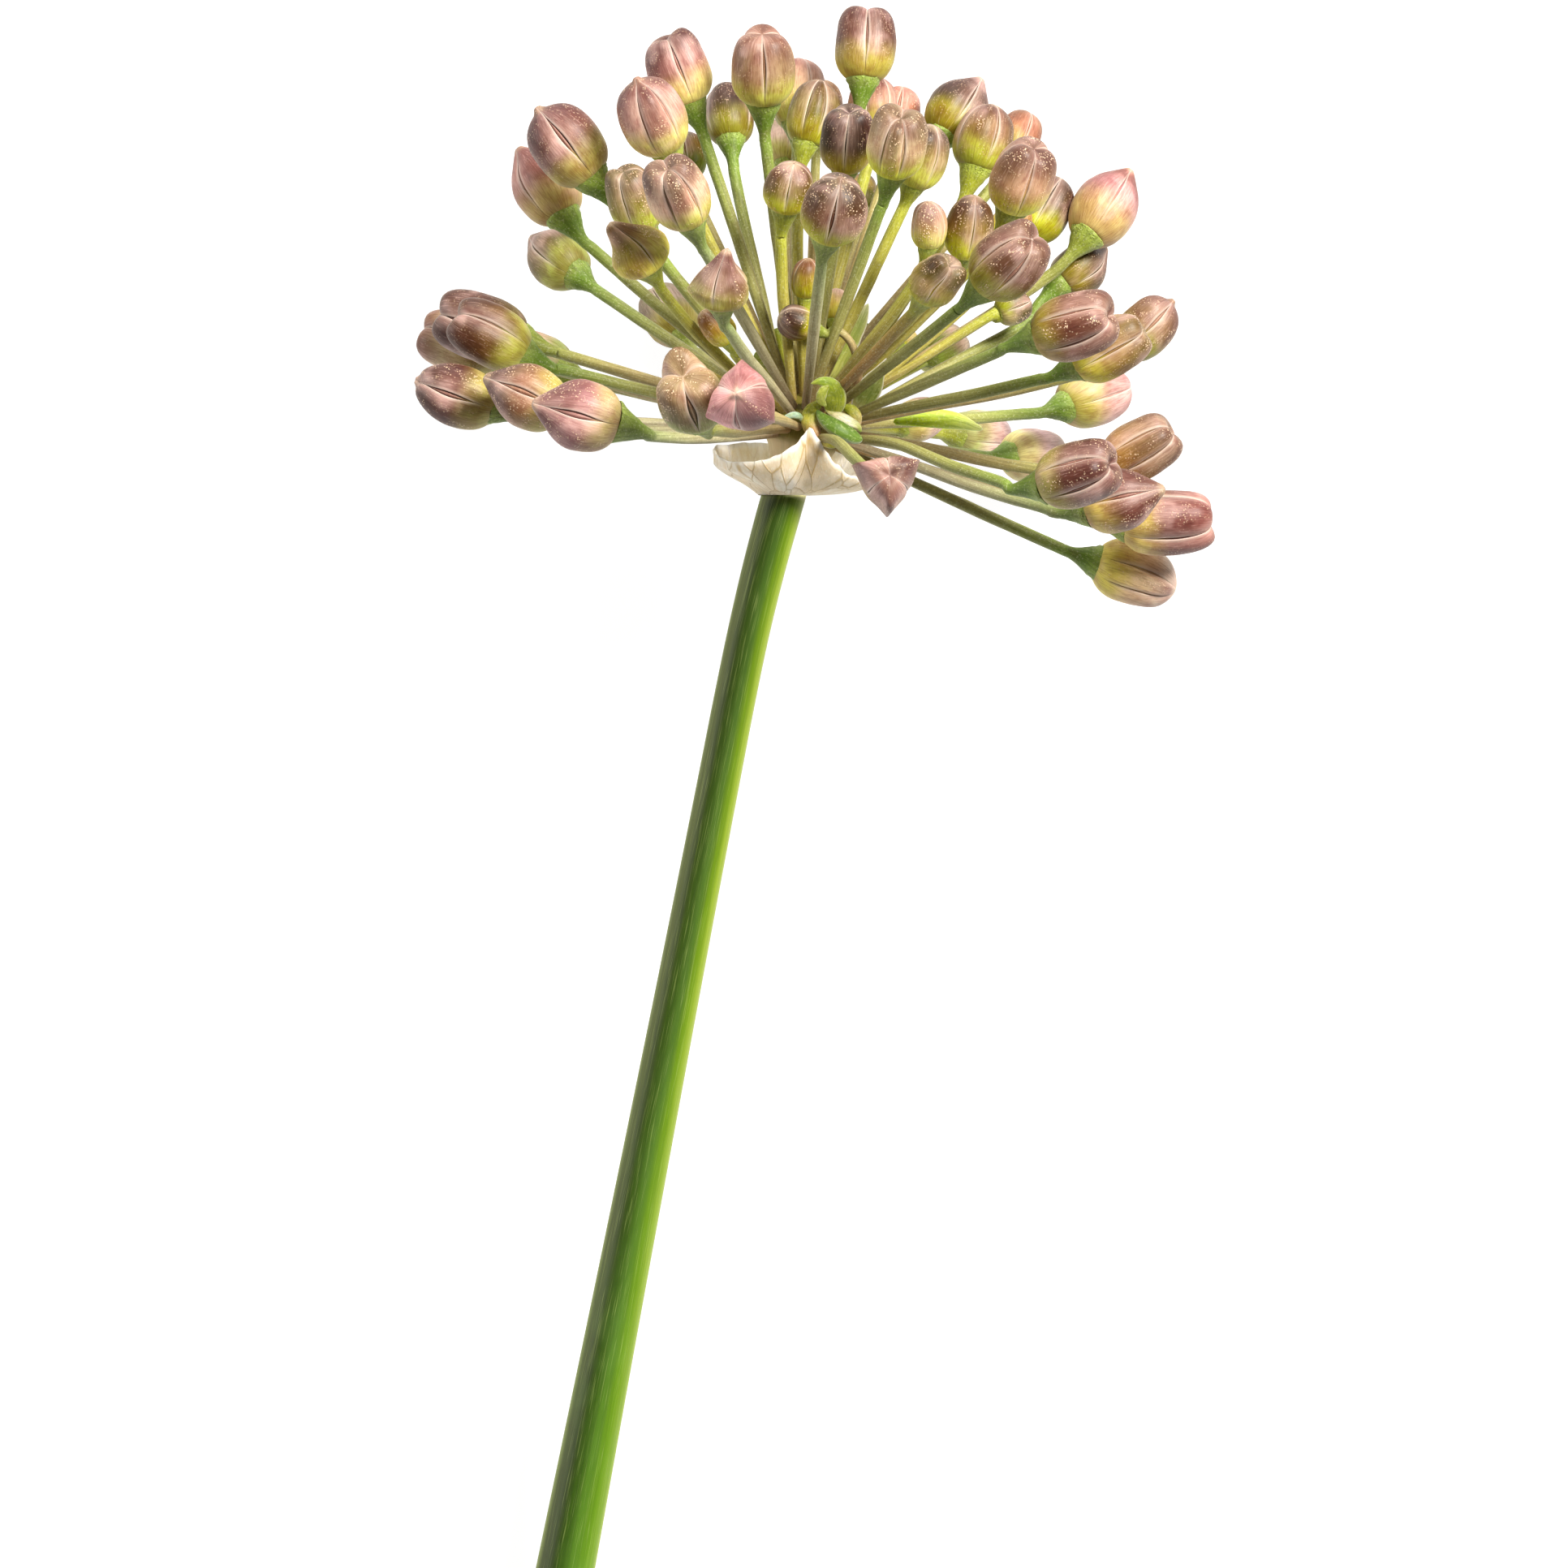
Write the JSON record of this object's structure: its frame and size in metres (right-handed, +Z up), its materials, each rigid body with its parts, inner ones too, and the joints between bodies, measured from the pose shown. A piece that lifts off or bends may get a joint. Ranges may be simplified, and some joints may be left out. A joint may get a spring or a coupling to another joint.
{
  "type": "cut allium in bud",
  "caption": "Cut allium lying on its side: a bare green stem, a papery spathe and an open round head of mauve and green buds on thin stalks.",
  "frame": {"origin": "midway under the plant as it lies, on the surface it rests on", "axes": "+Y along the stem from the cut end to the head, +Z up from the surface, +X to the right as seen from above with the head away"},
  "size_m": [0.0836, 0.1944, 0.0708],
  "materials": {
    "stem": "smooth satin green skin",
    "spathe": "dry translucent papery skin with fine veins",
    "bract": "soft pale green leaf",
    "bud_young": "satin yellow-green, browner at the tip",
    "bud_turning": "satin brown-green, with fine lengthwise veins",
    "bud_ripe": "satin mauve, greener at the base, with fine lengthwise veins"
  },
  "bodies": {
    "root": {"stem": "stem", "spathe": "spathe", "inner_bract": "bract", "floret_crown_1": "bud_ripe", "floret_crown_2": "bud_ripe", "floret_crown_3": "bud_turning", "floret_crown_4": "bud_ripe", "floret_crown_5": "bud_young", "floret_crown_6": "bud_turning", "floret_crown_7": "bud_turning", "floret_crown_8": "bud_ripe", "floret_crown_9": "bud_turning", "floret_crown_10": "bud_turning", "floret_crown_11": "bud_ripe", "floret_crown_12": "bud_young", "floret_crown_13": "bud_ripe", "floret_crown_14": "bud_turning", "floret_left_1": "bud_turning", "floret_left_2": "bud_ripe", "floret_left_3": "bud_turning", "floret_left_4": "bud_ripe", "floret_left_5": "bud_turning", "floret_left_6": "bud_ripe", "floret_left_7": "bud_ripe", "floret_left_8": "bud_ripe", "floret_left_9": "bud_ripe", "floret_left_10": "bud_ripe", "floret_left_11": "bud_ripe", "floret_right_1": "bud_young", "floret_right_2": "bud_young", "floret_right_3": "bud_ripe", "floret_right_4": "bud_young", "floret_right_5": "bud_young", "floret_right_6": "bud_turning", "floret_right_7": "bud_ripe", "floret_right_8": "bud_turning", "floret_right_9": "bud_turning", "floret_right_10": "bud_ripe", "floret_right_11": "bud_turning", "floret_right_12": "bud_ripe", "floret_right_13": "bud_ripe", "floret_right_14": "bud_ripe", "floret_front_1": "bud_ripe", "floret_front_2": "bud_ripe", "floret_front_3": "bud_ripe", "floret_front_4": "bud_turning", "floret_front_5": "bud_ripe", "floret_front_6": "bud_ripe", "floret_front_7": "bud_turning", "floret_front_8": "bud_ripe", "floret_front_9": "bud_ripe", "floret_front_10": "bud_ripe", "floret_front_11": "bud_ripe", "floret_back_1": "bud_turning", "floret_back_2": "bud_young", "floret_back_3": "bud_ripe", "floret_back_4": "bud_turning", "floret_back_5": "bud_turning", "floret_heart_1": "bud_young", "floret_heart_2": "bud_young"}
  },
  "joints": []
}
